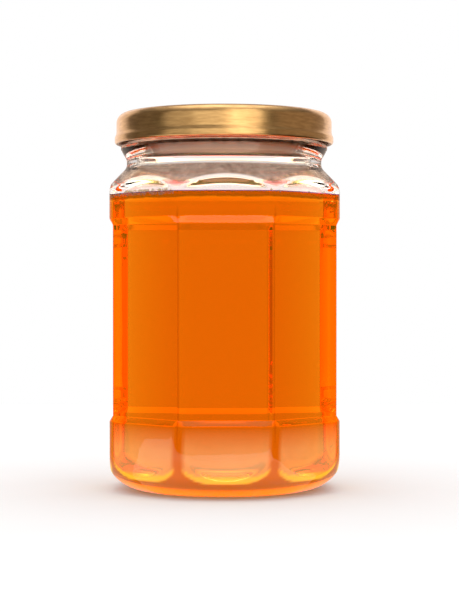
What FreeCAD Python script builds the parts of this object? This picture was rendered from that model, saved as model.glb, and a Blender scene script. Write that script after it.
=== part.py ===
"""An eight-sided glass honey jar with a lug cap, as a parametric FreeCAD document.

Row frame: +Z up, the origin at the middle of the base on the surface that the jar stands on, and one
flat panel facing -Y. All sizes are millimetres. Three pieces:

    jar    one glass wall: a turned envelope with heel, shoulder, neck, bead and thread ridges, cut to
           eight flats that are sunk between two bands, and hollowed by the cavity core
    honey  the cavity core up to the filling level
    lid    a pressed sheet cap with a sunk panel, a rolled edge and four lugs
"""

import FreeCAD, Part

import math
import os

import Sketcher

FLATS = 8
THREADS = 4
KNURLS = 72

# Driving dimensions. Each name is an alias in the sheet "Sizes".
SIZES = {
    # outside of the glass, across flats as apothems
    "band_flat": 36.5,
    "panel_flat": 35.3,
    "envelope_radius": 38.85,
    "heel_round": 12.8,
    "bearing_inner": 24.0,
    "push_up_radius": 21.6,
    "push_up_edge": 1.8,
    "push_up_centre": 2.6,
    "push_up_round": 2.0,
    "bearing_round": 0.4,
    "low_ledge_outer": 22.5,
    "low_ledge_inner": 24.3,
    "high_ledge_inner": 84.4,
    "high_ledge_outer": 86.5,
    "ledge_round": 0.9,
    "ledge_hollow": 0.5,
    "shoulder_start": 95.6,
    "shoulder_round": 3.0,
    "neck_radius": 31.4,
    "neck_low": 103.3,
    "neck_low_hollow": 3.0,
    "neck_high": 105.8,
    "neck_high_hollow": 3.0,
    "bead_radius": 33.3,
    "bead_low": 109.2,
    "bead_high": 110.6,
    "bead_round": 0.7,
    "finish_radius": 31.5,
    "finish_low": 111.0,
    "finish_hollow": 0.3,
    "rim_round": 1.3,
    # thread ridges under the cap
    "thread_radius": 32.9,
    "thread_root": 30.5,
    "thread_low": 112.9,
    "thread_edge": 113.8,
    "thread_high": 115.6,
    "thread_low_round": 0.4,
    "thread_high_round": 0.3,
    "thread_sweep": 62.0,
    # stippled bearing ring
    "knurl_width": 1.1,
    "knurl_inner": 25.0,
    "knurl_outer": 30.0,
    "knurl_depth": 0.4,
    # cavity
    "core_band_flat": 34.1,
    "core_panel_flat": 33.1,
    "core_radius": 35.2,
    "core_ledge_round": 8.0,
    "core_low_outer": 20.0,
    "core_low_inner": 26.0,
    "core_high_inner": 82.0,
    "core_high_outer": 88.0,
    "core_floor": 5.2,
    "core_floor_centre": 6.2,
    "core_floor_radius": 20.0,
    "core_floor_round": 12.0,
    "core_heel_round": 10.5,
    "core_shoulder_start": 95.7,
    "core_shoulder_round": 4.0,
    "core_neck_low": 102.8,
    "core_neck_hollow": 5.0,
    "mouth_radius": 28.4,
    "mouth_round": 1.3,
    "mouth_flare": 1.56,
    "mouth_rise": 0.15,
    "core_top": 124.8,
    "honey_level": 93.2,
    # cap
    "tin": 0.25,
    "lid_top": 120.8,
    "lid_radius": 34.75,
    "lid_corner": 3.1,
    "lid_panel_radius": 26.4,
    "lid_panel_step": 1.0,
    "lid_panel_sink": 0.7,
    "lid_panel_round": 0.8,
    "lid_panel_slack": 0.1,
    "lid_flare_start": 114.2,
    "lid_flare_end": 113.0,
    "lid_flare_round": 3.0,
    "lid_flare_end_round": 1.0,
    "lid_flare_slack": 0.05,
    "curl_radius": 35.3,
    "curl_bottom": 110.9,
    "curl_top": 112.7,
    "curl_width": 1.75,
    "curl_round": 0.85,
    "lug_radius": 32.2,
    "lug_low": 111.25,
    "lug_high": 112.3,
    "lug_round": 0.3,
    "lug_sweep": 15.0,
}
OUTSIDE = 60.0  # past every outer face
BELOW = -5.0  # under the base


class Size:
    """A length that knows its value and the sheet expression that gives it."""

    def __init__(self, value, text=None):
        self.value = float(value)
        self.text = text if text else repr(float(value))

    def __add__(self, other):
        other = size_of(other)
        return Size(self.value + other.value, f"({self.text} + {other.text})")

    def __sub__(self, other):
        other = size_of(other)
        return Size(self.value - other.value, f"({self.text} - {other.text})")

    def __mul__(self, other):
        other = size_of(other)
        return Size(self.value * other.value, f"({self.text} * {other.text})")


def size_of(number):
    """A Size from a Size or a plain number."""
    return number if isinstance(number, Size) else Size(number)


class Sizes:
    """The sheet's driving dimensions, read by name."""

    def __init__(self, doc):
        self.cells = doc.addObject("Spreadsheet::Sheet", "Sizes")
        for row, (alias, number) in enumerate(SIZES.items(), start=1):
            self.cells.set(f"A{row}", alias)
            self.cells.set(f"B{row}", str(number))
            self.cells.setAlias(f"B{row}", alias)
        doc.recompute()

    def __getattr__(self, alias):
        return Size(self.cells.get(alias), f"Sizes.{alias}")


def origin_feature(body, role):
    """One of the body's own origin planes or axes, such as XZ_Plane."""
    return next(f for f in body.Origin.OriginFeatures if f.Role == role)


def new_body(doc, name):
    body = doc.addObject("PartDesign::Body", name)
    doc.recompute()
    return body


def new_sketch(body, name, plane):
    sketch = body.newObject("Sketcher::SketchObject", name)
    sketch.AttachmentSupport = (origin_feature(body, plane), [""])
    sketch.MapMode = "FlatFace"
    return sketch


def rounded_points(corners):
    """For each corner (x, y, radius): where its round starts, its middle and where it ends."""
    found = []
    for i, (x, y, radius) in enumerate(corners):
        here = FreeCAD.Vector(x.value, y.value, 0)
        if radius is None:
            found.append((here, None, here))
            continue
        before, after = corners[i - 1], corners[(i + 1) % len(corners)]
        back = (FreeCAD.Vector(before[0].value, before[1].value, 0) - here).normalize()
        ahead = (FreeCAD.Vector(after[0].value, after[1].value, 0) - here).normalize()
        half = back.getAngle(ahead) / 2
        reach = radius.value / math.tan(half)
        centre = here + (back + ahead).normalize() * (radius.value / math.sin(half))
        found.append((here + back * reach, centre, here + ahead * reach))
    return found


def round_arc(first, centre, last):
    """The arc of a round, always drawn anticlockwise, and whether it starts at its first point."""
    out, back = first - centre, last - centre
    starts_first = out.cross(back).z > 0
    if not starts_first:
        out, back = back, out
    start = math.atan2(out.y, out.x)
    circle = Part.Circle(centre, FreeCAD.Vector(0, 0, 1), out.Length)
    return Part.ArcOfCircle(circle, start, start + out.getAngle(back)), starts_first


def outline(sketch, corners):
    """A closed outline through corners (x, y) or (x, y, radius), each bound to the sheet.

    A round has its radius bound, is tangent to both its lines, and keeps its sharp corner as a bound
    construction point that lies on both lines.
    """
    corners = [(size_of(c[0]), size_of(c[1]), size_of(c[2]) if len(c) > 2 else None) for c in corners]
    ends = rounded_points(corners)
    count = len(corners)
    lines = []
    for i in range(count):
        start, stop = ends[i][2], ends[(i + 1) % count][0]
        lines.append(sketch.addGeometry(Part.LineSegment(start, stop), False))
    rules = []
    for i, (x, y, radius) in enumerate(corners):
        before, after = lines[i - 1], lines[i]
        if radius is None:
            rules.append((Sketcher.Constraint("Coincident", before, 2, after, 1), None))
            rules.extend(point_rules(after, x, y))
            continue
        shape, starts_first = round_arc(*ends[i])
        arc = sketch.addGeometry(shape, False)
        corner = sketch.addGeometry(Part.Point(FreeCAD.Vector(x.value, y.value, 0)), True)
        rules.append((Sketcher.Constraint("Tangent", before, 2, arc, 1 if starts_first else 2), None))
        rules.append((Sketcher.Constraint("Tangent", after, 1, arc, 2 if starts_first else 1), None))
        rules.append((Sketcher.Constraint("Radius", arc, radius.value), radius))
        rules.append((Sketcher.Constraint("PointOnObject", corner, 1, before), None))
        rules.append((Sketcher.Constraint("PointOnObject", corner, 1, after), None))
        rules.extend(point_rules(corner, x, y))
    sketch.addConstraint([constraint for constraint, _ in rules])
    for index, (_, size) in enumerate(rules):
        if size is not None:
            sketch.setExpression(f"Constraints[{index}]", size.text)


def point_rules(geometry, x, y):
    """Holds the first point of a line, or a point, at the bound place (x, y) from the origin."""
    rules = []
    for kind, axis, size in (("DistanceX", -2, x), ("DistanceY", -1, y)):
        if abs(size.value) < 1e-9:
            rules.append((Sketcher.Constraint("PointOnObject", geometry, 1, axis), None))
        else:
            rules.append((Sketcher.Constraint(kind, -1, 1, geometry, 1, size.value), size))
    return rules


def revolve(body, sketch, name, degrees=None):
    """Turns a sketch about the body's Z axis, all the way or by an angle about the XZ plane."""
    turned = body.newObject("PartDesign::Revolution", name)
    turned.Profile = sketch
    turned.ReferenceAxis = (origin_feature(body, "Z_Axis"), [""])
    if degrees is None:
        turned.Angle = 360.0
    else:
        turned.Midplane = True
        turned.setExpression("Angle", degrees.text)
    return turned


def pattern(body, feature, name, count):
    """Repeats a feature evenly round the Z axis and makes the result the body's tip."""
    ring = body.newObject("PartDesign::PolarPattern", name)
    ring.Originals = [feature]
    ring.Axis = (origin_feature(body, "Z_Axis"), [""])
    ring.Angle = 360.0
    ring.Occurrences = count
    body.Tip = ring
    return ring


def cut_flats(body, corners, name):
    """Cuts one side of the envelope back to a flat outline and repeats it on every side."""
    sketch = new_sketch(body, f"{name}_outline", "XZ_Plane")
    outline(sketch, corners)
    pocket = body.newObject("PartDesign::Pocket", name)
    pocket.Profile = sketch
    pocket.Midplane = True
    pocket.Type = "Length"
    pocket.Length = 2 * OUTSIDE
    return pattern(body, pocket, f"{name}_all_round", FLATS)


def make_glass_outside(doc, s):
    """The glass as if it were solid: envelope, flats, thread ridges and stippled bearing ring."""
    body = new_body(doc, "glass_outside")
    rim = s.lid_top - s.tin
    envelope = new_sketch(body, "envelope_outline", "XZ_Plane")
    outline(envelope, [
        (0, s.push_up_centre),
        (s.push_up_radius, s.push_up_edge, s.push_up_round),
        (s.bearing_inner, 0, s.bearing_round),
        (s.envelope_radius, 0, s.heel_round),
        (s.envelope_radius, s.shoulder_start, s.shoulder_round),
        (s.neck_radius, s.neck_low, s.neck_low_hollow),
        (s.neck_radius, s.neck_high, s.neck_high_hollow),
        (s.bead_radius, s.bead_low, s.bead_round),
        (s.bead_radius, s.bead_high, s.bead_round),
        (s.finish_radius, s.finish_low, s.finish_hollow),
        (s.finish_radius, rim, s.rim_round),
        (0, rim),
    ])
    revolve(body, envelope, "envelope")
    doc.recompute()
    cut_flats(body, [
        (s.band_flat, BELOW),
        (s.band_flat, s.low_ledge_outer, s.ledge_round),
        (s.panel_flat, s.low_ledge_inner, s.ledge_hollow),
        (s.panel_flat, s.high_ledge_inner, s.ledge_hollow),
        (s.band_flat, s.high_ledge_outer, s.ledge_round),
        (s.band_flat, s.neck_high),
        (OUTSIDE, s.neck_high),
        (OUTSIDE, BELOW),
    ], "flat")
    doc.recompute()
    ridge_outline = new_sketch(body, "thread_outline", "XZ_Plane")
    outline(ridge_outline, [
        (s.thread_root, s.thread_low),
        (s.thread_radius, s.thread_low, s.thread_low_round),
        (s.thread_radius, s.thread_edge, s.thread_high_round),
        (s.thread_root, s.thread_high),
    ])
    ridge = revolve(body, ridge_outline, "thread", s.thread_sweep)
    doc.recompute()
    pattern(body, ridge, "threads", THREADS)
    doc.recompute()
    knurl_outline = new_sketch(body, "knurl_outline", "XY_Plane")
    low, high = s.knurl_width * -0.5, s.knurl_width * 0.5
    outline(knurl_outline, [
        (s.knurl_inner, low),
        (s.knurl_outer, low),
        (s.knurl_outer, high),
        (s.knurl_inner, high),
    ])
    knurl = body.newObject("PartDesign::Pocket", "knurl")
    knurl.Profile = knurl_outline
    knurl.Type = "Length"
    knurl.Reversed = True
    knurl.setExpression("Length", s.knurl_depth.text)
    doc.recompute()
    pattern(body, knurl, "knurls", KNURLS)
    doc.recompute()
    return body


def make_core(doc, s):
    """The space inside the glass, from the floor to past the mouth."""
    body = new_body(doc, "core")
    mouth = s.lid_top - s.tin + s.mouth_rise
    envelope = new_sketch(body, "core_outline", "XZ_Plane")
    outline(envelope, [
        (0, s.core_floor_centre),
        (s.core_floor_radius, s.core_floor, s.core_floor_round),
        (s.core_radius, s.core_floor, s.core_heel_round),
        (s.core_radius, s.core_shoulder_start, s.core_shoulder_round),
        (s.mouth_radius, s.core_neck_low, s.core_neck_hollow),
        (s.mouth_radius, mouth, s.mouth_round),
        (s.mouth_radius + s.mouth_flare, mouth),
        (s.mouth_radius + s.mouth_flare, s.core_top),
        (0, s.core_top),
    ])
    revolve(body, envelope, "core_envelope")
    doc.recompute()
    cut_flats(body, [
        (s.core_band_flat, BELOW),
        (s.core_band_flat, s.core_low_outer, s.core_ledge_round),
        (s.core_panel_flat, s.core_low_inner, s.core_ledge_round),
        (s.core_panel_flat, s.core_high_inner, s.core_ledge_round),
        (s.core_band_flat, s.core_high_outer, s.core_ledge_round),
        (s.core_band_flat, s.neck_high),
        (OUTSIDE, s.neck_high),
        (OUTSIDE, BELOW),
    ], "core_flat")
    doc.recompute()
    return body


def make_jar(doc, glass_outside, core):
    jar = doc.addObject("Part::Cut", "jar")
    jar.Base = glass_outside
    jar.Tool = core
    jar.Label = "jar"
    return jar


def make_honey(doc, s, core):
    """The cavity core below the filling level."""
    below = doc.addObject("Part::Cylinder", "below_level")
    below.Radius = OUTSIDE
    below.setExpression("Height", s.honey_level.text)
    honey = doc.addObject("Part::Common", "honey")
    honey.Base = core
    honey.Tool = below
    honey.Label = "honey"
    return honey


def make_lid(doc, s):
    """A cap pressed from one sheet: sunk panel, round corner, flared skirt, rolled edge, four lugs."""
    body = new_body(doc, "lid")
    body.Label = "lid"
    under = s.lid_top - s.tin
    panel = s.lid_top - s.lid_panel_sink
    panel_edge = s.lid_panel_radius + s.lid_panel_step
    curl_inside = s.curl_radius - s.curl_width
    small = s.curl_round - s.tin
    section = new_sketch(body, "lid_outline", "XZ_Plane")
    outline(section, [
        (0, panel),
        (s.lid_panel_radius, panel, s.lid_panel_round - s.tin),
        (panel_edge, s.lid_top, s.lid_panel_round),
        (s.lid_radius, s.lid_top, s.lid_corner),
        (s.lid_radius, s.lid_flare_start, s.lid_flare_round),
        (s.curl_radius, s.lid_flare_end, s.lid_flare_end_round),
        (s.curl_radius, s.curl_bottom, s.curl_round),
        (curl_inside, s.curl_bottom, s.curl_round),
        (curl_inside, s.curl_top),
        (curl_inside + s.tin, s.curl_top),
        (curl_inside + s.tin, s.curl_bottom + s.tin, small),
        (s.curl_radius - s.tin, s.curl_bottom + s.tin, small),
        (s.curl_radius - s.tin, s.lid_flare_end + s.lid_flare_slack, s.lid_flare_end_round - s.tin),
        (s.lid_radius - s.tin, s.lid_flare_start + s.lid_flare_slack, s.lid_flare_round),
        (s.lid_radius - s.tin, under, s.lid_corner - s.tin),
        (panel_edge + s.lid_panel_slack, under, s.lid_panel_round - s.tin),
        (s.lid_panel_radius + s.lid_panel_slack, panel - s.tin, s.lid_panel_round),
        (0, panel - s.tin),
    ])
    revolve(body, section, "lid_sheet")
    doc.recompute()
    lug_outline = new_sketch(body, "lug_outline", "XZ_Plane")
    outline(lug_outline, [
        (s.lug_radius, s.lug_low, s.lug_round),
        (curl_inside + s.tin * 0.5, s.lug_low),
        (curl_inside + s.tin * 0.5, s.lug_high),
        (s.lug_radius, s.lug_high, s.lug_round),
    ])
    lug = revolve(body, lug_outline, "lug", s.lug_sweep)
    doc.recompute()
    pattern(body, lug, "lugs", THREADS)
    doc.recompute()
    return body


def check(doc, pieces):
    """Stops if any object failed to rebuild or any piece isn't one valid closed solid."""
    for item in doc.Objects:
        if "Invalid" in item.State or "Error" in item.State:
            raise RuntimeError(f"{item.Label} failed: {item.State}")
    for piece in pieces:
        shape = piece.Shape
        if shape.isNull() or not shape.isValid() or len(shape.Solids) != 1:
            raise RuntimeError(f"{piece.Label} is not one valid solid")
        box = shape.BoundBox
        print(f"{piece.Label:8s} {shape.Volume / 1000:8.2f} ml  z {box.ZMin:.2f} to {box.ZMax:.2f}"
              f"  x {box.XMin:.2f} to {box.XMax:.2f}  faces {len(shape.Faces)}")


def main():
    doc = FreeCAD.newDocument("honey_jar")
    s = Sizes(doc)
    glass_outside = make_glass_outside(doc, s)
    core = make_core(doc, s)
    pieces = [
        make_jar(doc, glass_outside, core),
        make_honey(doc, s, core),
        make_lid(doc, s),
    ]
    doc.recompute()
    check(doc, pieces)
    os.makedirs("parts", exist_ok=True)
    for piece in pieces:
        piece.Shape.exportStep(f"parts/{piece.Label}.step")


main()
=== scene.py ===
"""An octagonal glass jar of clear honey under a gold lug cap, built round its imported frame.

Laid out as an add-on: sizes and colours in property groups, one operator for each piece, one for the
stage, and a panel that lists them. Run as a script, it registers the classes and makes every piece.
"""

import math

import bpy
import numpy as np
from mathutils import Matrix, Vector


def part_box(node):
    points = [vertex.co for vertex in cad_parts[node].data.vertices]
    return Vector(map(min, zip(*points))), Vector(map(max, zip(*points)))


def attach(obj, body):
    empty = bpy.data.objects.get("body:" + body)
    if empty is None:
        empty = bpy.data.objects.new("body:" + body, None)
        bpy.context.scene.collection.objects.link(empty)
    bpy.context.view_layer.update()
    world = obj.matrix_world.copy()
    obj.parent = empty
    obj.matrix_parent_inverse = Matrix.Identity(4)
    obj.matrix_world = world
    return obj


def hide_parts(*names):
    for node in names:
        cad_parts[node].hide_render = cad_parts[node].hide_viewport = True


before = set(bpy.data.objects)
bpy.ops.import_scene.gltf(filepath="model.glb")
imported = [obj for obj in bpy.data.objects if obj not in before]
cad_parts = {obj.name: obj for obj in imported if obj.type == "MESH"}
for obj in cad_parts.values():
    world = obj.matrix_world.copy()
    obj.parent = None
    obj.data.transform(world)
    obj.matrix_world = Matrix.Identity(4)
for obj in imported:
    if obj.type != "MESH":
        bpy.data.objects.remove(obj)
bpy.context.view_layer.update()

bl_info = {
    "name": "Honey jar",
    "version": (1, 0, 0),
    "blender": (4, 5, 0),
    "location": "View3D > Sidebar > Honey jar",
    "description": "Makes an octagonal glass jar of honey with a gold lug cap",
    "category": "Add Mesh",
}

SIDES = 8
MM = 0.001
WHITE = (1, 1, 1)
BAND_FLAT = 36.5 * MM

# Soft boxes: name, azimuth and height in degrees, size, brightness, colour.
SOFT_BOX_DISTANCE = 0.7
SOFT_BOXES = (
    ("key", 22, 12, (0.40, 1.2), 1.8, (1.0, 0.92, 0.78)),
    ("fill", -10, 5, (0.60, 0.8), 1.05, (1.0, 0.95, 0.83)),
    ("left", -50, 8, (0.40, 0.8), 0.6, (1.0, 0.93, 0.80)),
    ("far_left", -95, 8, (0.50, 0.8), 0.15, (1.0, 0.84, 0.68)),
    ("right", 90, 8, (1.0, 0.8), 0.32, (1.0, 0.78, 0.60)),
    ("back_left", -146, 6, (0.6, 0.8), 0.8, (1.0, 0.88, 0.82)),
    ("back_right", 150, 6, (0.5, 0.8), 0.8, (1.0, 0.88, 0.82)),
    ("overhead", 180, 84, (0.6, 0.6), 1.0, (1.0, 0.98, 0.94)),
)

# The studio's colours by the sine of the height over the horizon.
SEEN_THROUGH = (
    (-1.0, (1.9, 1.7, 1.3)),
    (-0.2, (1.6, 1.45, 1.2)),
    (-0.1, (1, 1, 1)),
    (0.16, (1, 1, 1)),
    (0.24, (0.85, 0.76, 0.70)),
    (0.36, (0.75, 0.64, 0.56)),
    (0.48, (2.6, 2.4, 2.0)),
    (0.75, (4.5, 3.6, 1.0)),
    (1.0, (1.7, 0.8, 0.1)),
)
MIRRORED = (
    (0.6, (0.005, 0.004, 0.003)),
    (0.85, (0.6, 0.56, 0.52)),
    (1.0, (1.0, 0.96, 0.92)),
)
BEHIND = (0.50, 0.40, 0.34)
BEHIND_FROM, BEHIND_TO = 0.5, 0.85
TURNED_GAIN = 1.5  # more light in rays that the glass has turned inside
MATT_GAIN = 0.15  # more light on the table and the other matt faces

# The table, and the card that only reflections show.
TABLE_CORNERS = ((-0.4, -0.4), (0.4, -0.4), (0.4, 0.4), (-0.4, 0.4))
CARD_CORNERS = ((-0.28, -0.10), (0.085, -0.21), (0.085, -0.02), (-0.28, -0.02))
CARD_DIMMER, CARD_DIMMEST = 8.0, 0.3  # loss per metre to the left, and the least that is left
CARD_FADE, CARD_START = -16.0, 3.4  # change per metre from the axis, and the uncut light at the axis
CARD_AMBER, CARD_CREAM = 0.085, 0.13  # distances where the card stops being amber and is cream
CARD_COLOURS = ((0.45, 0.12, 0.005), (1.0, 0.86, 0.58))

HONEY_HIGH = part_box("honey")[1]
CAP_LOW, CAP_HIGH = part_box("lid")

# Where the glass's painted reflection and painted shades begin and end, in metres of height unless said
# otherwise.
SHADE_ROUND = 3 * MM  # corner round of the octagon that the depth of the neck's painted reflection is measured from
# How far inside the flats, and how high, the neck's painted reflection of brown surroundings starts and is
# whole
NECK_REFLECTION_DEPTH = (0.9 * MM, 1.5 * MM)
NECK_REFLECTION_HEIGHT = (95.0 * MM, 97.0 * MM)
RING_LOW, RING_HIGH = (102.6 * MM, 103.6 * MM), (107 * MM, 108 * MM)
# The painted shade of the dark lines down the corners: their width, and the heights where they start and
# end
LINE_WIDTH = math.radians(0.4)
LINE_LOW, LINE_HIGH = (16 * MM, 24 * MM), (86 * MM, 90 * MM)
# Heights where the painted shade of the honey's lower band starts and is whole
LOWER_SHADE_HEIGHT = (24 * MM, 21.5 * MM)
# The painted shade under the honey's edge: its depth, blur and waver
BRIM_DEPTH, BRIM_BLUR, BRIM_WAVER = 0.5 * MM, 0.5 * MM, 1.2 * MM

# The heel's windows and crescents of painted glow, in millimetres and in shares of half a side.
WINDOW_FOOT, WINDOW_RISE = 5.0, 5.5
WINDOW_EDGE = 0.8
WINDOW_SIDES = (0.84, 0.93)
WINDOW_TOP = (14.0, 19.5)
CRESCENT_WIDTH, CRESCENT_TAPER = 2.6, 1.6
CRESCENT_EDGE = 0.3
CRESCENT_CORE = 0.6
HEEL_RADIUS = 25

# The bubbles' stretch of foam, in degrees round the axis.
FOAM_START, FOAM_SPAN, FOAM_CROWD = -170, 54, 0.8


# Sizes and colours ---------------------------------------------------------------------------------


def length(name, default, description):
    """A length property, shown in the scene's units."""
    return bpy.props.FloatProperty(
        name=name, description=description, default=default, unit="LENGTH", min=0.0, precision=5
    )


def number(name, default, description):
    return bpy.props.FloatProperty(name=name, description=description, default=default, precision=4)


def angle(name, degrees, description):
    return bpy.props.FloatProperty(
        name=name, description=description, default=math.radians(degrees), unit="ROTATION"
    )


def count(name, default, description):
    return bpy.props.IntProperty(name=name, description=description, default=default, min=1)


def colour(name, default, description):
    return bpy.props.FloatVectorProperty(
        name=name, description=description, default=default, size=3, subtype="COLOR", min=0.0, max=1.0
    )


class JarGlassSettings(bpy.types.PropertyGroup):
    band_flat: length("Band flat", BAND_FLAT, "Axis to a flat on the two outer bands")
    panel_flat: length("Panel flat", 35.3 * MM, "Axis to a sunk panel")
    round_limit: length("Round limit", 38.85 * MM, "Radius that trims the bands' corners")
    heel_round: length("Heel round", 12.8 * MM, "Radius of the round from wall to base")
    corner_round: length("Corner round", 1.1 * MM, "Outer radius of a panel corner")
    crease: length("Crease", 0.22 * MM, "How softly the flats run into the heel and the shoulder")
    wall: length("Wall", 2.3 * MM, "Thickness of the side wall")
    inner_corner_round: length("Inner corner round", 9.0 * MM, "Inner radius at a corner")
    inner_crease: length("Inner crease", 0.7 * MM, "Softness of the inner creases")
    floor: length("Floor", 5.2 * MM, "Height of the inside floor over the table")
    knurls: count("Knurls", 72, "Bumps round the bearing ring")
    knurl_depth: length("Knurl depth", 0.4 * MM, "Depth between the bumps")
    tint: colour("Tint", (0.98, 0.95, 0.925), "Colour that the glass lets through")
    # Painted reflection of brown surroundings on the neck, and its paler patches
    painted_neck_reflection: colour("Dust", (0.075, 0.034, 0.018), "Colour of the film on the neck")
    painted_neck_reflection_pale: colour("Pale dust", (0.26, 0.155, 0.10), "Colour of the film's thin patches")
    # Painted shade down each corner
    corner_line_shade: colour("Corner line", (0.62, 0.45, 0.30), "Colour of the thin line down each corner")
    # Painted shade under the honey's edge
    brim_shade: colour("Brim", (0.12, 0.03, 0.10), "Colour of the dark band under the honey's edge")
    # Painted shade on the honey's lower band
    lower_band_shade: colour("Deep", (0.80, 0.72, 0.80), "Colour of the honey's shaded lower band")
    # Painted glow at each side's foot, and the painted yellow light under it
    window: colour("Window", (0.20, 0.20, 0.085), "Light that each side's foot scatters")
    crescent: colour("Crescent", (0.45, 0.37, 0.03), "Yellow light caught under each side's foot")
    ripple: number("Ripple", 0.05, "Strength of the moulded unevenness")


class HoneySettings(bpy.types.PropertyGroup):
    bite: length("Bite", 0.12 * MM, "How far the honey reaches into the wall, so that no air shows")
    climb: length("Climb", 0.9 * MM, "How far the honey climbs the wall")
    climb_reach: length("Climb reach", 1.5 * MM, "Distance over which the climb dies away")
    absorption: colour("Absorption colour", (0.945, 0.65, 0.0), "Colour left after one absorption length")
    density: number("Absorption density", 110.0, "Absorption per metre of honey")
    # A painted glow in the honey, standing in for the light that it scatters back
    painted_haze_glow: colour("Haze colour", (1.0, 0.58, 0.004), "Colour of the light that the honey scatters back")
    painted_haze_glow_strength: number("Haze strength", 0.105, "Light scattered back at each crossing of its side")
    foam: count("Foam bubbles", 420, "Air bubbles in the band of foam along the honey line")
    strays: count("Stray bubbles", 90, "Air bubbles spread along the rest of the line")


class CapSettings(bpy.types.PropertyGroup):
    lacquer: colour("Lacquer", (0.82, 0.51, 0.21), "Colour of the gold lacquer")
    shade: colour("Lacquer shade", (0.60, 0.34, 0.13), "Darker streaks in the lacquer")
    roughness: number("Roughness", 0.28, "Roughness of the lacquered sheet")
    enamel: colour("Enamel", (0.72, 0.62, 0.52), "Colour of the enamel inside")


class StageSettings(bpy.types.PropertyGroup):
    distance: length("Camera distance", 0.5507, "Camera to the jar's axis")
    eye: length("Eye height", 0.0636, "Camera height over the table")
    azimuth: angle("Azimuth", -1.0, "Camera's turn about the jar")
    drop: angle("Drop", 0.50, "How far the camera looks down")
    lens: bpy.props.FloatProperty(name="Lens", description="Focal length", default=100.0, unit="CAMERA")
    side_step: length("Side step", 1.75 * MM, "How far right of the axis the camera aims")
    table: colour("Table", (0.93, 0.93, 0.93), "Colour of the table")


# Outlines and surfaces -----------------------------------------------------------------------------


def rounded_outline(corners, turn=6.0):
    """An open outline through corners (radius, height, round) in millimetres, as an array in metres.

    A round is the arc that touches both sides of its corner. It begins round * tan(half the turn)
    before the corner and is sampled every few degrees of turn. Straight runs get no points.
    """
    corners = [(*corner, 0.0)[:3] for corner in corners]
    places = np.array([corner[:2] for corner in corners], float)
    parts = [places[:1]]
    for before, here, after, corner in zip(places, places[1:], places[2:], corners[1:]):
        ahead, back = after - here, before - here
        ahead, back = ahead / np.linalg.norm(ahead), back / np.linalg.norm(back)
        bend = math.pi - math.acos(np.clip(ahead @ back, -1, 1))
        if corner[2] == 0 or bend < 1e-4:
            parts.append(here[None])
            continue
        reach = corner[2] * math.tan(bend / 2)
        middle = (back + ahead) / np.linalg.norm(back + ahead)
        centre = here + middle * corner[2] / math.cos(bend / 2)
        share = np.linspace(0, 1, max(2, math.ceil(math.degrees(bend) / turn)) + 1)[:, None]
        first, last = here + back * reach - centre, here + ahead * reach - centre
        arc = (first * np.sin((1 - share) * bend) + last * np.sin(share * bend)) / math.sin(bend)
        parts.append(centre + arc)
    parts.append(places[-1:])
    return np.concatenate(parts) * MM


def along(start, end, shares):
    """Plain corners at shares of the way from one corner to the next."""
    return [(start[0] + (end[0] - start[0]) * k, start[1] + (end[1] - start[1]) * k) for k in shares]


def column_angles(per_side=36, beside_corner=(0.35, 0.8)):
    """Directions round the axis: even steps, and a few closer ones on both sides of each corner."""
    side = 360 / SIDES
    even = np.arange(SIDES * per_side) * side / per_side
    corners = (np.arange(SIDES) + 0.5) * side
    close = corners[:, None] + np.array([*beside_corner, *(-k for k in beside_corner)])
    return np.radians(np.unique(np.concatenate([even, close.ravel() % 360]).round(6)) - 90)


def octagon_radius(flat, angles, corner_round):
    """Axis to the outline of an octagon whose front side faces -Y.

    With phi the angle from the nearest side's middle, the side is flat / cos(phi). Past the point
    where the corner's circle touches the side, it is the far side of that circle, whose centre is
    (flat - round) / cos(22.5 degrees) out along the corner.
    """
    half = math.pi / SIDES
    phi = np.abs((angles + math.pi / 2 + half) % (2 * half) - half)
    centre = (flat - corner_round) / math.cos(half)
    aside = centre * np.sin(half - phi)
    arc = centre * np.cos(half - phi) + np.sqrt(np.maximum(corner_round**2 - aside**2, 0))
    on_side = flat * np.tan(phi) <= (flat - corner_round) * math.tan(half)
    return np.where(on_side, flat / np.cos(phi), arc)


def soft_min(a, b, width):
    """The smaller of two surfaces with a round crease: -width * log(exp(-a/width) + exp(-b/width))."""
    return -width * np.logaddexp(-a / width, -b / width)


def faceted(outline, flats, angles, corner_round, crease):
    """A turned outline trimmed by an octagon whose flat varies with height, as rows of (x, y, z)."""
    flat = np.interp(outline[:, 1], flats[:, 1], flats[:, 0])[:, None]
    side = octagon_radius(flat, angles[None], corner_round)
    radius = soft_min(outline[:, :1], side, crease)
    radius = np.where(outline[:, :1] < flat * 0.5, outline[:, :1], radius)
    return around(radius, outline[:, 1:], angles)


def around(radius, height, angles):
    """Rows of (x, y, z) from radius and height, each a row or a full grid, round the axis."""
    radius, height, angles = np.broadcast_arrays(radius, height, angles[None])
    return np.stack([radius * np.cos(angles), radius * np.sin(angles), height], axis=-1)


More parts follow.
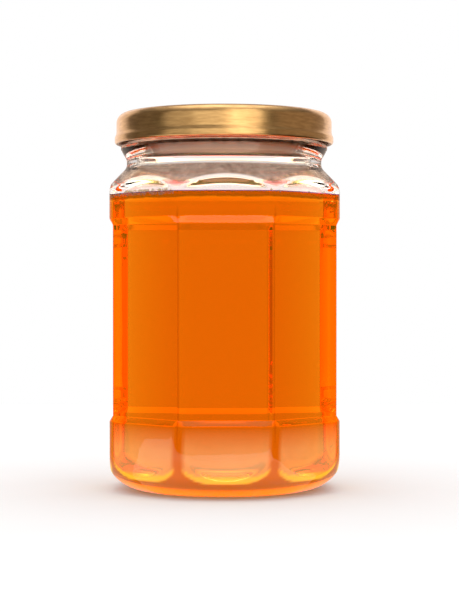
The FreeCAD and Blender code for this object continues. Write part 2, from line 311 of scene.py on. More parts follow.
def closed_mesh(name, rows, bands=None, **shades):
    """A closed mesh from rows of points round the axis, whose first and last rows are single points.

    Faces go from each point to the next one round, then up a row, so they face away from the solid
    when the rows run out along its underside, up its outside and back over its top. Bands holds the
    material slot of the faces between each row and the next, and each shade a number for each point.
    """
    columns = rows.shape[1]
    points = np.concatenate([rows[:1, 0], rows[1:-1].reshape(-1, 3), rows[-1:, 0]])
    grid = 1 + np.arange(points.shape[0] - 2).reshape(-1, columns)
    ahead = np.roll(grid, -1, axis=1)
    quads = np.stack([grid[:-1], ahead[:-1], ahead[1:], grid[1:]], axis=-1).reshape(-1, 4)
    low = np.stack([np.zeros(columns, int), ahead[0], grid[0]], axis=-1)
    high = np.stack([grid[-1], ahead[-1], np.full(columns, len(points) - 1)], axis=-1)
    mesh = polygon_mesh(name, points, [quads, low, high])
    if bands is not None:
        slots = np.concatenate([np.repeat(bands[1:-1], columns), np.repeat(bands[[0, -1]], columns)])
        mesh.polygons.foreach_set("material_index", slots.astype(np.int32))
    for label, shade in shades.items():
        values = np.concatenate([shade[:1, 0], shade[1:-1].ravel(), shade[-1:, 0]])
        attribute = mesh.attributes.new(label, "FLOAT", "POINT")
        attribute.data.foreach_set("value", np.ascontiguousarray(values, np.float32))
    return mesh


def polygon_mesh(name, points, groups):
    """A smooth mesh from points and arrays of faces with the same number of corners in each array."""
    mesh = bpy.data.meshes.new(name)
    loops = np.concatenate([group.ravel() for group in groups]).astype(np.int32)
    totals = np.concatenate([np.full(len(group), group.shape[1], np.int32) for group in groups])
    mesh.vertices.add(len(points))
    mesh.vertices.foreach_set("co", np.ascontiguousarray(points, np.float32).ravel())
    mesh.loops.add(len(loops))
    mesh.loops.foreach_set("vertex_index", loops)
    mesh.polygons.add(len(totals))
    mesh.polygons.foreach_set("loop_start", np.concatenate([[0], np.cumsum(totals)[:-1]]).astype(np.int32))
    mesh.polygons.foreach_set("loop_total", totals)
    mesh.polygons.foreach_set("use_smooth", np.ones(len(totals), bool))
    mesh.update()
    mesh.validate()
    return mesh


def add_piece(name, mesh, materials, slot, *nodes):
    """Adds the mesh as a piece of the jar that stands for the frame's nodes."""
    piece = bpy.data.objects.new(name, mesh)
    bpy.context.scene.collection.objects.link(piece)
    for material in materials:
        mesh.materials.append(material)
    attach(piece, "root")
    if nodes:
        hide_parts(*nodes)
    return piece


# The jar's own shapes ------------------------------------------------------------------------------


BODY_SINK = 0.1 * MM  # the honey's body ends this far under the skin's face
SKIN_DEPTH = 0.3 * MM  # and the skin's underside is this far under it
RING_INNER, RING_WIDTH, RING_TOP = 24.6, 5.4, 0.9  # the bearing ring, in millimetres


def outer_flats(glass):
    """Height against the distance to a flat: two bands with the sunk panels between two ledges."""
    band, panel = glass.band_flat / MM, glass.panel_flat / MM
    return rounded_outline([
        (band, -5),
        (band, 22.5, 0.9),
        (panel, 24.3, 0.5),
        (panel, 84.4, 0.5),
        (band, 86.5, 0.9),
        (band, 130),
    ])


def inner_flats(glass, bite=0.0):
    """The same inside the wall, where the ledges are only a gentle swell."""
    grow = bite / MM - glass.wall / MM
    band, panel = glass.band_flat / MM + grow, glass.panel_flat / MM + grow
    return rounded_outline([
        (band, -5),
        (band, 20.0, 8.0),
        (panel, 26.0, 8.0),
        (panel, 82.0, 8.0),
        (band, 88.0, 8.0),
        (band, 130),
    ], turn=1.5)


def outer_outline(glass):
    """From the middle of the push-up, round the heel, up the wall and neck to the top of the rim."""
    limit, rim = glass.round_limit / MM, CAP_HIGH[2] / MM - 0.25
    heights = outer_flats(glass)[1:-1, 1] / MM
    shoulder, neck = (limit, 95.6), (31.4, 103.3)
    return rounded_outline([
        (0, 2.6),
        (7, 2.35),
        (14, 2.05),
        (21.6, 1.8, 2.0),
        (24.0, 0, 0.4),
        (25.0, 0),
        (limit, 0, glass.heel_round / MM),
        (limit, 15),
        *((limit, height) for height in heights),
        (limit, 90),
        (*shoulder, 3.0),
        *along(shoulder, neck, np.linspace(0.2, 0.55, 12)),
        (*neck, 3.0),
        (31.4, 105.8, 3.0),
        (33.3, 109.2, 0.7),
        (33.3, 110.6, 0.7),
        (31.5, 111.0, 0.3),
        (31.5, rim, 1.3),
        (29.9, rim),
    ], turn=4.0)


def inner_outline(glass, wet, bite=0.0, to_mouth=True):
    """From the middle of the floor, up the inside of the wall, past the honey's edge to the mouth."""
    grow = bite / MM
    limit, floor = glass.round_limit / MM - 3.65 + grow, glass.floor / MM - grow
    heights = inner_flats(glass)[1:-1:2, 1] / MM
    shoulder, neck = (limit, 95.7), (28.4, 102.8)
    wall = [
        (0, floor + 1.0),
        (7, floor + 0.88),
        (14, floor + 0.5),
        (20.0, floor, 12.0),
        (limit, floor, 10.5),
        *((limit, height) for height in heights),
        (limit, wet / MM),
    ]
    if not to_mouth:
        return rounded_outline(wall, turn=4.0)
    rim = CAP_HIGH[2] / MM - 0.25
    return rounded_outline([
        *wall,
        (*shoulder, 4.0),
        *along(shoulder, neck, np.linspace(0.25, 0.6, 7)),
        (*neck, 5.0),
        (28.4, rim, 1.3),
        (29.8, rim),
    ], turn=4.0)


def knurled(rows, glass, angles):
    """Lifts the bearing ring between its bumps: depth * (half - half cos(bumps * angle)), faded out
    with a sine over the ring's width."""
    radius = np.hypot(rows[..., 0], rows[..., 1]) / MM
    height = rows[..., 2] / MM
    ring = np.sin(math.pi * np.clip((radius - RING_INNER) / RING_WIDTH, 0, 1)) * (height < RING_TOP)
    wave = 0.5 - 0.5 * np.cos(glass.knurls * angles)[None]
    rows[..., 2] += glass.knurl_depth * ring * wave
    return rows


def wet_height(honey):
    """Height of the honey's edge on the wall."""
    return HONEY_HIGH[2] + honey.climb


def glass_rows(glass, honey, angles):
    """The whole glass as one closed turn: out and up the outside, over the rim and down inside.

    Also the material slot between each row and the next: 1 where honey wets the inside, else 0.
    """
    outside = faceted(outer_outline(glass), outer_flats(glass), angles, glass.corner_round, glass.crease)
    outline = inner_outline(glass, wet_height(honey))
    inside = faceted(outline, inner_flats(glass), angles, glass.inner_corner_round, glass.inner_crease)
    wet = outline[::-1][1:, 1] < wet_height(honey) - 1e-6
    rows = np.concatenate([knurled(outside, glass, angles), inside[::-1]])
    return rows, np.concatenate([np.zeros(len(rows) - len(wet) - 1, int), wet.astype(int)])


def smooth_step(values, start, stop):
    """0 before start, 1 past stop and 3k^2 - 2k^3 in between."""
    share = np.clip((values - start) / (stop - start), 0, 1)
    return share * share * (3 - 2 * share)


def glass_shades(rows, angles):
    """How much each point belongs to the painted reflection of brown surroundings on the neck, and to the
    painted shade down the corners.

    The painted reflection is where the turned shape has left the flats above the shoulder, apart from the
    ring at the neck's narrowest. A line of painted shade is exp(-(turn from the corner / line width)^2) on
    the outside wall.
    """
    half = math.pi / SIDES
    height, radius = rows[..., 2], np.hypot(rows[..., 0], rows[..., 1])
    flat = octagon_radius(BAND_FLAT, angles, SHADE_ROUND)[None]
    outside = outside_rows(rows)
    neck = smooth_step(flat - radius, *NECK_REFLECTION_DEPTH) * smooth_step(height, *NECK_REFLECTION_HEIGHT)
    neck = neck * (1 - smooth_step(height, *RING_LOW) + smooth_step(height, *RING_HIGH))
    corner = half - np.abs((angles + math.pi / 2 + half) % (2 * half) - half)
    line = np.exp(-(corner[None] / LINE_WIDTH) ** 2)
    line = line * smooth_step(height, *LINE_LOW) * (1 - smooth_step(height, *LINE_HIGH))
    return {"neck": neck * outside, "corner": line * outside, **heel_shades(rows, angles)}


def outside_rows(rows):
    """1 for the rows on the outside of the glass, up to the rim, and 0 for those inside."""
    return (np.arange(len(rows)) < np.argmax(rows[:, 0, 2])).astype(float)[:, None]


def heel_shades(rows, angles):
    """The painted glow of a pale window at the foot of each side, and the painted yellow light of a
    crescent under it.

    With k the turn from the side's middle over half a side, the window's lower edge is the height
    foot + rise * k^4, its sides are just short of k = 1 and it fades out upwards. The yellow light
    follows the lower edge as a crescent of the width (width - taper * k^2).
    """
    half = math.pi / SIDES
    k = np.abs((angles + math.pi / 2 + half) % (2 * half) - half)[None] / half
    height, radius = rows[..., 2] / MM, np.hypot(rows[..., 0], rows[..., 1]) / MM
    foot = WINDOW_FOOT + WINDOW_RISE * k**4
    sides = 1 - smooth_step(k, *WINDOW_SIDES)
    outside = outside_rows(rows) * (radius > HEEL_RADIUS)
    window = smooth_step(height, foot, foot + WINDOW_EDGE) * (1 - smooth_step(height, *WINDOW_TOP)) * sides
    wide = CRESCENT_WIDTH - CRESCENT_TAPER * k**2
    crescent = smooth_step(height, foot - CRESCENT_EDGE, foot + CRESCENT_EDGE)
    crescent = crescent * (1 - smooth_step(height, foot + CRESCENT_CORE * wide, foot + wide))
    return {"window": window * outside, "crescent": crescent * sides * outside}


def honey_wall(glass, honey, angles):
    """The honey's floor and side, a little into the glass, up to its edge."""
    outline = inner_outline(glass, wet_height(honey), honey.bite, to_mouth=False)
    flats = inner_flats(glass, honey.bite)
    return faceted(outline, flats, angles, glass.inner_corner_round, glass.inner_crease)


def honey_top(edge, honey, sink, angles):
    """The honey's surface from its edge to the axis, lowered by a sink.

    Its height over the level is climb * exp(-distance to the wall / reach).
    """
    share = np.linspace(0, 1, 30)[:, None] ** 2.5
    away = edge * share
    height = HONEY_HIGH[2] - sink + honey.climb * np.exp(-away / honey.climb_reach)
    top = around(edge - away, height, angles)
    top[-1, :, 2] = HONEY_HIGH[2] - sink
    return top


def honey_rows(glass, honey, angles):
    """The body of the honey: floor, side and a top just under the skin's face."""
    wall = honey_wall(glass, honey, angles)
    edge = np.hypot(wall[-1, :, 0], wall[-1, :, 1])
    return np.concatenate([wall[:-1], honey_top(edge, honey, BODY_SINK, angles)])


def skin_rows(glass, honey, angles):
    """The skin that closes the honey off from the air: a thin sheet whose underside is in the body.

    Also the material slot between each row and the next: 1 on its free face, else 0.
    """
    edge = honey_wall(glass, honey, angles)[-1]
    edge = np.hypot(edge[:, 0], edge[:, 1])
    under = honey_top(edge, honey, SKIN_DEPTH, angles)[::-1]
    free = honey_top(edge, honey, 0.0, angles)
    bands = np.concatenate([np.zeros(len(under), int), np.ones(len(free) - 1, int)])
    return np.concatenate([under, free]), bands


def small_balls(centres, radii, rings=5, columns=8):
    """One mesh grid of separate balls: rows of (sin t cos u, sin t sin u, -cos t) * radius + centre."""
    t = np.linspace(0, math.pi, rings + 2)[1:-1, None]
    u = np.linspace(0, 2 * math.pi, columns, endpoint=False)[None]
    unit = np.stack([np.sin(t) * np.cos(u), np.sin(t) * np.sin(u), -np.cos(t) + 0 * u], axis=-1)
    unit = np.concatenate([[[0, 0, -1]], unit.reshape(-1, 3), [[0, 0, 1]]])
    points = centres[:, None] + unit[None] * radii[:, None, None]
    grid = 1 + np.arange(rings * columns).reshape(rings, columns)
    ahead = np.roll(grid, -1, axis=1)
    quads = np.stack([grid[:-1], ahead[:-1], ahead[1:], grid[1:]], axis=-1).reshape(-1, 4)
    low = np.stack([np.zeros(columns, int), ahead[0], grid[0]], axis=-1)
    high = np.stack([grid[-1], ahead[-1], np.full(columns, len(unit) - 1)], axis=-1)
    steps = np.arange(len(centres))[:, None, None] * len(unit)
    groups = [(faces[None] + steps).reshape(-1, faces.shape[1]) for faces in (quads, low, high)]
    return points.reshape(-1, 3), groups


def bubble_places(honey, edge, angles):
    """Centres and radii of the bubbles that the wall holds along the honey line.

    Foam fills one stretch of the line, at start + span * random^crowd degrees, and strays lie
    anywhere. Most bubbles are small, with a radius of 0.10 + 0.34 * random^3 mm, and each lies just
    clear of the wall.
    """
    draw = np.random.default_rng(11)
    foam = np.radians(FOAM_START + FOAM_SPAN * draw.random(honey.foam) ** FOAM_CROWD)
    turn = np.concatenate([foam, draw.uniform(-math.pi, math.pi, honey.strays)])
    size = (0.10 + 0.34 * draw.random(len(turn)) ** 3) * MM
    spread = np.where(np.arange(len(turn)) < honey.foam, 1.0, 0.5) * MM
    height = wet_height(honey) + 0.2 * MM + (draw.random(len(turn)) - 0.6) * 1.6 * spread
    wall = np.interp(turn, angles, edge, period=2 * math.pi)
    out = wall - size * 1.15
    return np.stack([out * np.cos(turn), out * np.sin(turn), height], axis=-1), size


def cap_outline():
    """From the middle of the underside, down inside the skirt, round the rolled edge and back over
    the top."""
    top, sheet = CAP_HIGH[2] / MM, 0.25
    under, panel, side, edge = top - sheet, top - 0.7, 34.75, 35.3
    inside = edge - 1.75
    return rounded_outline([
        (0, panel - sheet),
        (26.5, panel - sheet, 0.8),
        (27.5, under, 0.55),
        (side - sheet, under, 3.1 - sheet),
        (side - sheet, 114.25, 3.0),
        (edge - sheet, 113.05, 0.75),
        (edge - sheet, 110.9 + sheet, 0.6),
        (inside + sheet, 110.9 + sheet, 0.6),
        (inside + sheet, 112.7),
        (inside, 112.7),
        (inside, 110.9, 0.85),
        (edge, 110.9, 0.85),
        (edge, 113.0, 1.0),
        (side, 114.2, 3.0),
        (side, 117.0),
        (side, top, 3.1),
        (27.4, top, 0.8),
        (26.4, panel, 0.55),
        (0, panel),
    ], turn=9.0)


# Materials -----------------------------------------------------------------------------------------


def new_material(name):
    """A node material and its shader."""
    material = bpy.data.materials.new(name)
    material.use_nodes = True
    return material, material.node_tree, material.node_tree.nodes["Principled BSDF"]


def add_node(tree, kind, **values):
    """A node with its sockets or settings set by name."""
    node = tree.nodes.new(kind)
    for key, value in values.items():
        if key in node.inputs:
            node.inputs[key].default_value = value
        else:
            setattr(node, key, value)
    return node


def noise(tree, scale, detail, stretch=(1.0, 1.0, 1.0)):
    """Noise on the object's own coordinates, stretched by a scale on each axis."""
    coordinates = add_node(tree, "ShaderNodeTexCoord")
    mapping = add_node(tree, "ShaderNodeMapping", Scale=stretch)
    texture = add_node(tree, "ShaderNodeTexNoise", Scale=scale, Detail=detail)
    tree.links.new(coordinates.outputs["Object"], mapping.inputs["Vector"])
    tree.links.new(mapping.outputs["Vector"], texture.inputs["Vector"])
    return texture.outputs["Fac"]


def ripple(tree, shader, source, strength, distance):
    """Bumps the shader's surface by a texture."""
    bump = add_node(tree, "ShaderNodeBump", Strength=strength, Distance=distance)
    tree.links.new(source, bump.inputs["Height"])
    tree.links.new(bump.outputs["Normal"], shader.inputs["Normal"])


def between(tree, source, low, high):
    """A colour that runs from low to high as the source goes from 0.3 to 0.7."""
    ramp = add_node(tree, "ShaderNodeValToRGB")
    ramp.color_ramp.elements[0].position = 0.3
    ramp.color_ramp.elements[0].color = (*low, 1)
    ramp.color_ramp.elements[1].position = 0.7
    ramp.color_ramp.elements[1].color = (*high, 1)
    tree.links.new(source, ramp.inputs["Fac"])
    return ramp.outputs["Color"]


def attribute(tree, name):
    """One of the piece's own numbers for each point."""
    return add_node(tree, "ShaderNodeAttribute", attribute_name=name).outputs["Fac"]


def mix_colours(tree, share, low, high):
    """Low where the share is 0 and high where it is 1."""
    mix = add_node(tree, "ShaderNodeMix", data_type="RGBA")
    for socket, value in (("Factor_Float", share), ("A_Color", low), ("B_Color", high)):
        place = next(item for item in mix.inputs if item.identifier == socket)
        if isinstance(value, bpy.types.NodeSocket):
            tree.links.new(value, place)
        else:
            place.default_value = (*value, 1)
    return next(item for item in mix.outputs if item.identifier == "Result_Color")


def clear_material(name, ior, low, high, strength):
    """A clear refracting surface with a faint mottled tint and long soft ripples."""
    material, tree, shader = new_material(name)
    tree.links.new(between(tree, noise(tree, 40, 2), low, high), shader.inputs["Base Color"])
    shader.inputs["Roughness"].default_value = 0.0
    shader.inputs["IOR"].default_value = ior
    shader.inputs["Transmission Weight"].default_value = 1.0
    if strength:
        ripple(tree, shader, noise(tree, 90, 2, (1, 1, 0.5)), strength, 0.0005)
    return material


def glass_materials(glass):
    """The free glass, and the wet inside, where honey of nearly the same index hides the surface.

    The free glass takes its painted neck reflection, the painted shade down its corners and the painted
    glow at its heel from the piece's own shades.
    """
    free, tree, shader = new_material("clear_glass")
    shader.inputs["Roughness"].default_value = 0.0
    shader.inputs["IOR"].default_value = 1.52
    shader.inputs["Transmission Weight"].default_value = 1.0
    paler = tuple(1 - (1 - c) * 0.6 for c in glass.tint)
    clear = between(tree, noise(tree, 40, 2), glass.tint, paler)
    # Painted reflection of brown surroundings on the neck, on the faces where rays enter the glass
    painted_neck_colour = between(tree, noise(tree, 420, 5), glass.painted_neck_reflection, glass.painted_neck_reflection_pale)
    leaving = add_node(tree, "ShaderNodeNewGeometry").outputs["Backfacing"]
    entering = math_node(tree, "SUBTRACT", 1.0, leaving)
    neck = math_node(tree, "MULTIPLY", attribute(tree, "neck"), entering)
    tinted = mix_colours(tree, neck, clear, painted_neck_colour)
    # Painted shade down each corner
    lined = mix_colours(tree, attribute(tree, "corner"), tinted, glass.corner_line_shade)
    tree.links.new(lined, shader.inputs["Base Color"])
    # Painted glow at each side's foot and painted yellow light under it, as emission from the glass
    mottle = noise(tree, 260, 4)
    thin = tuple(c * 0.75 for c in glass.window)
    painted_glow = mix_colours(tree, mottle, thin, tuple(glass.window))
    painted_glow = mix_colours(tree, attribute(tree, "window"), (0, 0, 0), painted_glow)
    painted_heel_light = mix_colours(tree, attribute(tree, "crescent"), painted_glow, glass.crescent)
    tree.links.new(painted_heel_light, shader.inputs["Emission Color"])
    shader.inputs["Emission Strength"].default_value = 1.0
    fine = math_node(tree, "MULTIPLY", noise(tree, 700, 3), attribute(tree, "neck"))
    height = math_node(tree, "MULTIPLY_ADD", fine, 0.5, noise(tree, 90, 2, (1, 1, 0.5)))
    ripple(tree, shader, height, glass.ripple, 0.0005)
    return free, wet_material(glass)


def wet_material(glass):
    """The glass against the honey, with no gloss.

    It has a band of painted shade above the heel, and a thin band of painted shade with a wavering lower
    edge under the honey's edge, which shows where light leaves the glass.
    """
    material, tree, shader = new_material("wet_glass")
    shader.inputs["Roughness"].default_value = 0.0
    shader.inputs["IOR"].default_value = 1.0
    shader.inputs["Transmission Weight"].default_value = 1.0
    split = add_node(tree, "ShaderNodeSeparateXYZ")
    tree.links.new(add_node(tree, "ShaderNodeTexCoord").outputs["Object"], split.inputs[0])
    # Painted shade under the honey's edge, with a wavering lower edge
    waver = math_node(tree, "MULTIPLY_ADD", noise(tree, 150, 3), BRIM_WAVER, split.outputs["Z"])
    start = HONEY_HIGH[2] - BRIM_DEPTH
    share = clamped(tree, math_node(tree, "MULTIPLY_ADD", waver, 1 / BRIM_BLUR, -start / BRIM_BLUR), 0.0)
    leaving = add_node(tree, "ShaderNodeNewGeometry").outputs["Backfacing"]
    share = math_node(tree, "MULTIPLY", share, leaving)
    # Painted shade on the honey's lower band
    low = smooth_share(tree, split.outputs["Z"], *LOWER_SHADE_HEIGHT)
    lower_band_shade = mix_colours(tree, low, WHITE, glass.lower_band_shade)
    tree.links.new(mix_colours(tree, share, lower_band_shade, glass.brim_shade), shader.inputs["Base Color"])
    return material


def honey_material(honey):
    """Clear liquid that takes its colour from its depth and meets the glass with no gloss, and gives off a
    faint painted glow.
    """
    material = clear_material("honey", 1.0, WHITE, WHITE, 0)
    tree = material.node_tree
    depth = add_node(tree, "ShaderNodeVolumeAbsorption", Density=honey.density)
    depth.inputs["Color"].default_value = (*honey.absorption, 1)
    tree.links.new(depth.outputs["Volume"], tree.nodes["Material Output"].inputs["Volume"])
    shader = tree.nodes["Principled BSDF"]
    # Painted glow, standing in for the light that the honey scatters back
    shader.inputs["Emission Color"].default_value = (*honey.painted_haze_glow, 1)
    shader.inputs["Emission Strength"].default_value = honey.painted_haze_glow_strength
    return material


def skin_materials():
    """The skin's hidden underside, and its glossy free face."""
    under = clear_material("honey_skin_underside", 1.0, WHITE, WHITE, 0)
    return under, clear_material("honey_skin", 1.49, WHITE, (1, 0.98, 0.94), 0.02)


def bubble_material():
    """Bright little bubbles with a thin skin of honey."""
    material, tree, shader = new_material("bubble")
    pale = between(tree, noise(tree, 900, 2), (1.0, 0.80, 0.50), (1.0, 0.93, 0.78))
    tree.links.new(pale, shader.inputs["Base Color"])
    shader.inputs["Roughness"].default_value = 0.3
    return material


def enamel_material(cap):
    """Pale enamel on the inside of the cap."""
    material, tree, shader = new_material("cap_enamel")
    darker = tuple(c * 0.94 for c in cap.enamel)
    tree.links.new(between(tree, noise(tree, 120, 3), darker, cap.enamel), shader.inputs["Base Color"])
    shader.inputs["Roughness"].default_value = 0.45
    return material


def cap_material(cap):
    """Gold lacquer on tinplate, with fine streaks round the skirt."""
    material, tree, shader = new_material("gold_tinplate")
    streaks = noise(tree, 260, 4, (1, 1, 6))
    tree.links.new(between(tree, streaks, cap.shade, cap.lacquer), shader.inputs["Base Color"])
    shader.inputs["Metallic"].default_value = 1.0
    shader.inputs["Roughness"].default_value = cap.roughness
    shader.inputs["Coat Weight"].default_value = 0.3
    shader.inputs["Coat Roughness"].default_value = 0.12
    ripple(tree, shader, noise(tree, 300, 3), 0.08, 0.0002)
    return material


# Operators -----------------------------------------------------------------------------------------


class HONEYJAR_OT_glass(bpy.types.Operator):
    """Make the glass: one closed shell of outside, rim and inside"""

    bl_idname = "honeyjar.glass"
    bl_label = "Glass"

    def execute(self, context):
        glass, honey = context.scene.jar_glass, context.scene.jar_honey
        angles = column_angles()
        rows, bands = glass_rows(glass, honey, angles)
        mesh = closed_mesh("glass_jar", rows, bands, **glass_shades(rows, angles))
        add_piece("glass_jar", mesh, glass_materials(glass), "clear_glass", "jar")
        return {"FINISHED"}


class HONEYJAR_OT_honey(bpy.types.Operator):
    """Make the honey that fills the glass up to its level"""

    bl_idname = "honeyjar.honey"
    bl_label = "Honey"

    def execute(self, context):
        glass, honey = context.scene.jar_glass, context.scene.jar_honey
        angles = column_angles()
        body = closed_mesh("clear_honey", honey_rows(glass, honey, angles))
        add_piece("clear_honey", body, [honey_material(honey)], "honey", "honey")
        skin = closed_mesh("honey_skin", *skin_rows(glass, honey, angles))
        add_piece("honey_skin", skin, skin_materials(), "honey")
        return {"FINISHED"}


class HONEYJAR_OT_bubbles(bpy.types.Operator):
    """Make the air bubbles that cling to the wall along the honey line"""

    bl_idname = "honeyjar.bubbles"
    bl_label = "Bubbles"

    def execute(self, context):
        glass, honey = context.scene.jar_glass, context.scene.jar_honey
        angles = column_angles()
        wall = honey_wall(glass, honey, angles)[-1]
        edge = np.hypot(wall[:, 0], wall[:, 1]) - honey.bite
        points, groups = small_balls(*bubble_places(honey, edge, angles))
        mesh = polygon_mesh("honey_bubbles", points, groups)
        add_piece("honey_bubbles", mesh, [bubble_material()], "honey")
        return {"FINISHED"}


class HONEYJAR_OT_cap(bpy.types.Operator):
    """Make the pressed gold cap"""

    bl_idname = "honeyjar.cap"
    bl_label = "Cap"

    def execute(self, context):
        cap = context.scene.jar_cap
        angles = np.linspace(0, 2 * math.pi, 192, endpoint=False)
        outline = cap_outline()
        inside = np.arange(len(outline) - 1) < np.argmin(outline[:, 1])
        rows = around(outline[:, :1], outline[:, 1:], angles)
        mesh = closed_mesh("gold_cap", rows, inside.astype(int))
        add_piece("gold_cap", mesh, [cap_material(cap), enamel_material(cap)], "gold_tinplate", "lid")
        return {"FINISHED"}


class HONEYJAR_OT_stage(bpy.types.Operator):
    """Set the pale table, the soft light and the camera"""

    bl_idname = "honeyjar.stage"
    bl_label = "Stage"

    def execute(self, context):
        stage = context.scene.jar_stage
        make_table(stage)
        make_world()
        make_lamps()
        make_camera(stage)
        context.scene.view_settings.view_transform = "Standard"
        context.scene.cycles.max_bounces = 32
        context.scene.cycles.transmission_bounces = 32
        context.scene.cycles.glossy_bounces = 8
        return {"FINISHED"}


def make_table(stage):
    """A wide matt table that the jar neither mirrors nor shows through, and a card that it mirrors."""
    material, tree, shader = new_material("table")
    shader.inputs["Roughness"].default_value = 0.9
    shader.inputs["Specular IOR Level"].default_value = 0.0
    table = tuple(stage.table)
    tree.links.new(
        between(tree, noise(tree, 30, 2), table, tuple(c * 0.99 for c in table)),
        shader.inputs["Base Color"],
    )
    wide = stage_sheet("table", TABLE_CORNERS, -0.2 * MM, material)
    wide.visible_glossy = False
    wide.visible_transmission = False
    near = stage_sheet("card", CARD_CORNERS, -0.1 * MM, card_material())
    near.visible_camera = False
    near.visible_diffuse = False
    near.visible_transmission = False
    near.visible_shadow = False


def card_material():
    """A glowing card, dimmer to the left and away from the jar, and amber near it, where the table
    takes up the honey's colour."""
    material, tree, shader = new_material("card")
    split = add_node(tree, "ShaderNodeSeparateXYZ")
    place = add_node(tree, "ShaderNodeTexCoord").outputs["Object"]
    tree.links.new(place, split.inputs[0])
    far = add_node(tree, "ShaderNodeVectorMath", operation="LENGTH")
    tree.links.new(place, far.inputs[0])
    level = math_node(tree, "MULTIPLY_ADD", split.outputs["X"], CARD_DIMMER, 1.0)
    fade = math_node(tree, "MULTIPLY_ADD", far.outputs["Value"], CARD_FADE, CARD_START)
    glow = math_node(tree, "MULTIPLY", clamped(tree, level, CARD_DIMMEST), clamped(tree, fade, 0.0))
    tree.links.new(glow, shader.inputs["Emission Strength"])
    share = smooth_share(tree, far.outputs["Value"], CARD_AMBER, CARD_CREAM)
    tree.links.new(mix_colours(tree, share, *CARD_COLOURS), shader.inputs["Emission Color"])
    return material


def stage_sheet(name, corners, height, material):
    """A flat sheet of the stage, level with or just under the surface that the jar stands on."""
    points = np.array([(x, y, height) for x, y in corners])
    mesh = polygon_mesh(name, points, [np.array([[0, 1, 2, 3]])])
    sheet = bpy.data.objects.new(name, mesh)
    bpy.context.scene.collection.objects.link(sheet)
    mesh.materials.append(material)
    return sheet


def make_world():
    """A white studio all round, which the glass shows in its own way.

    Through the glass, the light from below and near the horizon is white, and brighter in rays that
    the glass has turned twice or more inside, as side lights make it. Higher up it is brown, and then
    brighter and amber. Mirrored rays see a ceiling light and a dim backdrop behind the jar, with the
    rest dark, as black flags round the lens make it.
    """
    world = bpy.data.worlds.new("studio")
    world.use_nodes = True
    bpy.context.scene.world = world
    world.cycles.sampling_method = "NONE"
    tree = world.node_tree
    path = add_node(tree, "ShaderNodeLightPath")
    glossy = math_node(tree, "MULTIPLY", path.outputs["Is Glossy Ray"], path.outputs["Is Reflection Ray"])
    mirrored = math_node(tree, "MULTIPLY", glossy, none_of(tree, path.outputs["Transmission Depth"]))
    clear = none_of(tree, path.outputs["Diffuse Depth"])
    seen = math_node(tree, "MULTIPLY", path.outputs["Is Transmission Ray"], clear)
    turned = clamped(tree, math_node(tree, "SUBTRACT", path.outputs["Glossy Depth"], 1.0), 0.0)
    strength = math_node(tree, "MULTIPLY_ADD", turned, TURNED_GAIN, 1.0)
    strength = math_node(tree, "MULTIPLY", strength, seen)
    strength = math_node(tree, "MAXIMUM", strength, 1.0)
    strength = math_node(tree, "MULTIPLY_ADD", path.outputs["Is Diffuse Ray"], MATT_GAIN, strength)
    through = by_height(tree, SEEN_THROUGH)
    colour = mix_colours(tree, seen, WHITE, through)
    ceiling = mix_colours(tree, behind(tree), by_height(tree, MIRRORED), BEHIND)
    colour = mix_colours(tree, mirrored, colour, ceiling)
    background = tree.nodes["Background"]
    tree.links.new(colour, background.inputs["Color"])
    tree.links.new(strength, background.inputs["Strength"])


def behind(tree):
    """1 for directions towards +Y, behind the jar's front, and 0 for the rest."""
    split = add_node(tree, "ShaderNodeSeparateXYZ")
    tree.links.new(add_node(tree, "ShaderNodeTexCoord").outputs["Generated"], split.inputs[0])
    return smooth_share(tree, split.outputs["Y"], BEHIND_FROM, BEHIND_TO)


def by_height(tree, stops):
    """A colour by the sine of the height over the horizon, from stops of (sine, colour)."""
    split = add_node(tree, "ShaderNodeSeparateXYZ")
    tree.links.new(add_node(tree, "ShaderNodeTexCoord").outputs["Generated"], split.inputs[0])
    ramp = add_node(tree, "ShaderNodeValToRGB")
    elements = ramp.color_ramp.elements
    while len(elements) < len(stops):
        elements.new(1.0)
    for element, (sine, _) in zip(elements, stops):
        element.position = 0.5 + 0.5 * sine
    for element, (_, tone) in zip(elements, stops):
        element.color = (*tone, 1)
    tree.links.new(math_node(tree, "MULTIPLY_ADD", split.outputs["Z"], 0.5, 0.5), ramp.inputs["Fac"])
    return ramp.outputs["Color"]


def math_node(tree, operation, *inputs):
    """A maths node fed by sockets or plain numbers."""
    node = add_node(tree, "ShaderNodeMath", operation=operation)
    for socket, value in zip(node.inputs, inputs):
        if isinstance(value, bpy.types.NodeSocket):
            tree.links.new(value, socket)
        else:
            socket.default_value = value
    return node.outputs[0]


def clamped(tree, source, least):
    """The source, kept between the least and 1."""
    return math_node(tree, "MINIMUM", math_node(tree, "MAXIMUM", source, least), 1.0)


def none_of(tree, count):
    """1 where a count is 0, and 0 where it is 1 or more."""
    return math_node(tree, "SUBTRACT", 1.0, math_node(tree, "MINIMUM", count, 1.0))


def smooth_share(tree, source, start, stop):
    """0 where the source is start and 1 where it is stop, with a smooth step between them."""
    share = add_node(tree, "ShaderNodeMapRange", interpolation_type="SMOOTHSTEP")
    share.inputs["From Min"].default_value = start
    share.inputs["From Max"].default_value = stop
    tree.links.new(source, share.inputs["Value"])
    return share.outputs["Result"]


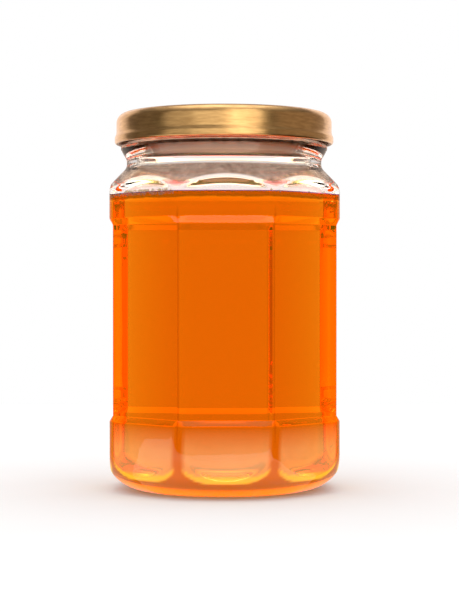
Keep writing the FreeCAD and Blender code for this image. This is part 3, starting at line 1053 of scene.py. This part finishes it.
def make_lamps():
    """Soft boxes round the cap, which light only it."""
    lit = bpy.data.collections.new("lit_by_soft_boxes")
    lit.objects.link(bpy.data.objects["gold_cap"])
    for name, azimuth, height, size, brightness, tint in SOFT_BOXES:
        lamp = bpy.data.lights.new(name, "AREA")
        lamp.shape = "RECTANGLE"
        lamp.size, lamp.size_y = size
        lamp.color = tint
        lamp.energy = brightness * math.pi * size[0] * size[1]
        box = bpy.data.objects.new(name, lamp)
        bpy.context.scene.collection.objects.link(box)
        turn, rise = math.radians(azimuth), math.radians(height)
        out = Vector((math.sin(turn) * math.cos(rise), -math.cos(turn) * math.cos(rise), math.sin(rise)))
        box.location = Vector((0, 0, CAP_LOW[2])) + out * SOFT_BOX_DISTANCE
        box.rotation_euler = (-out).to_track_quat("-Z", "Y").to_euler()
        box.visible_camera = False
        box.visible_transmission = False
        box.light_linking.receiver_collection = lit


def make_camera(stage):
    """The camera on a circle round the jar, looking a little down and to the right of its axis."""
    camera = bpy.data.objects.new("camera", bpy.data.cameras.new("camera"))
    bpy.context.scene.collection.objects.link(camera)
    turn = stage.azimuth
    right = np.array([math.cos(turn), math.sin(turn), 0])
    toward = np.array([-math.sin(turn), math.cos(turn), 0])
    camera.location = -toward * stage.distance + np.array([0, 0, stage.eye])
    yaw = turn - math.atan2(stage.side_step, stage.distance)
    camera.rotation_euler = (math.pi / 2 - stage.drop, 0, yaw)
    camera.data.lens = stage.lens
    camera.data.clip_start = 0.01
    bpy.context.scene.camera = camera


class HONEYJAR_PT_panel(bpy.types.Panel):
    """Lists the jar's sizes and its operators"""

    bl_idname = "HONEYJAR_PT_panel"
    bl_label = "Honey jar"
    bl_space_type = "VIEW_3D"
    bl_region_type = "UI"
    bl_category = "Honey jar"

    def draw(self, context):
        for group, operators in PIECES:
            box = self.layout.box()
            settings = getattr(context.scene, group)
            for key in settings.__annotations__:
                box.prop(settings, key)
            for operator in operators:
                box.operator(operator.bl_idname)


PIECES = (
    ("jar_glass", (HONEYJAR_OT_glass,)),
    ("jar_honey", (HONEYJAR_OT_honey, HONEYJAR_OT_bubbles)),
    ("jar_cap", (HONEYJAR_OT_cap,)),
    ("jar_stage", (HONEYJAR_OT_stage,)),
)
GROUPS = {
    "jar_glass": JarGlassSettings,
    "jar_honey": HoneySettings,
    "jar_cap": CapSettings,
    "jar_stage": StageSettings,
}
CLASSES = (*GROUPS.values(), *(kind for _, kinds in PIECES for kind in kinds), HONEYJAR_PT_panel)


def register():
    for kind in CLASSES:
        bpy.utils.register_class(kind)
    for name, group in GROUPS.items():
        setattr(bpy.types.Scene, name, bpy.props.PointerProperty(type=group))


def unregister():
    for name in GROUPS:
        delattr(bpy.types.Scene, name)
    for kind in reversed(CLASSES):
        bpy.utils.unregister_class(kind)


def main():
    register()
    bpy.ops.honeyjar.glass()
    bpy.ops.honeyjar.honey()
    bpy.ops.honeyjar.bubbles()
    bpy.ops.honeyjar.cap()
    bpy.ops.honeyjar.stage()


if __name__ == "__main__":
    main()
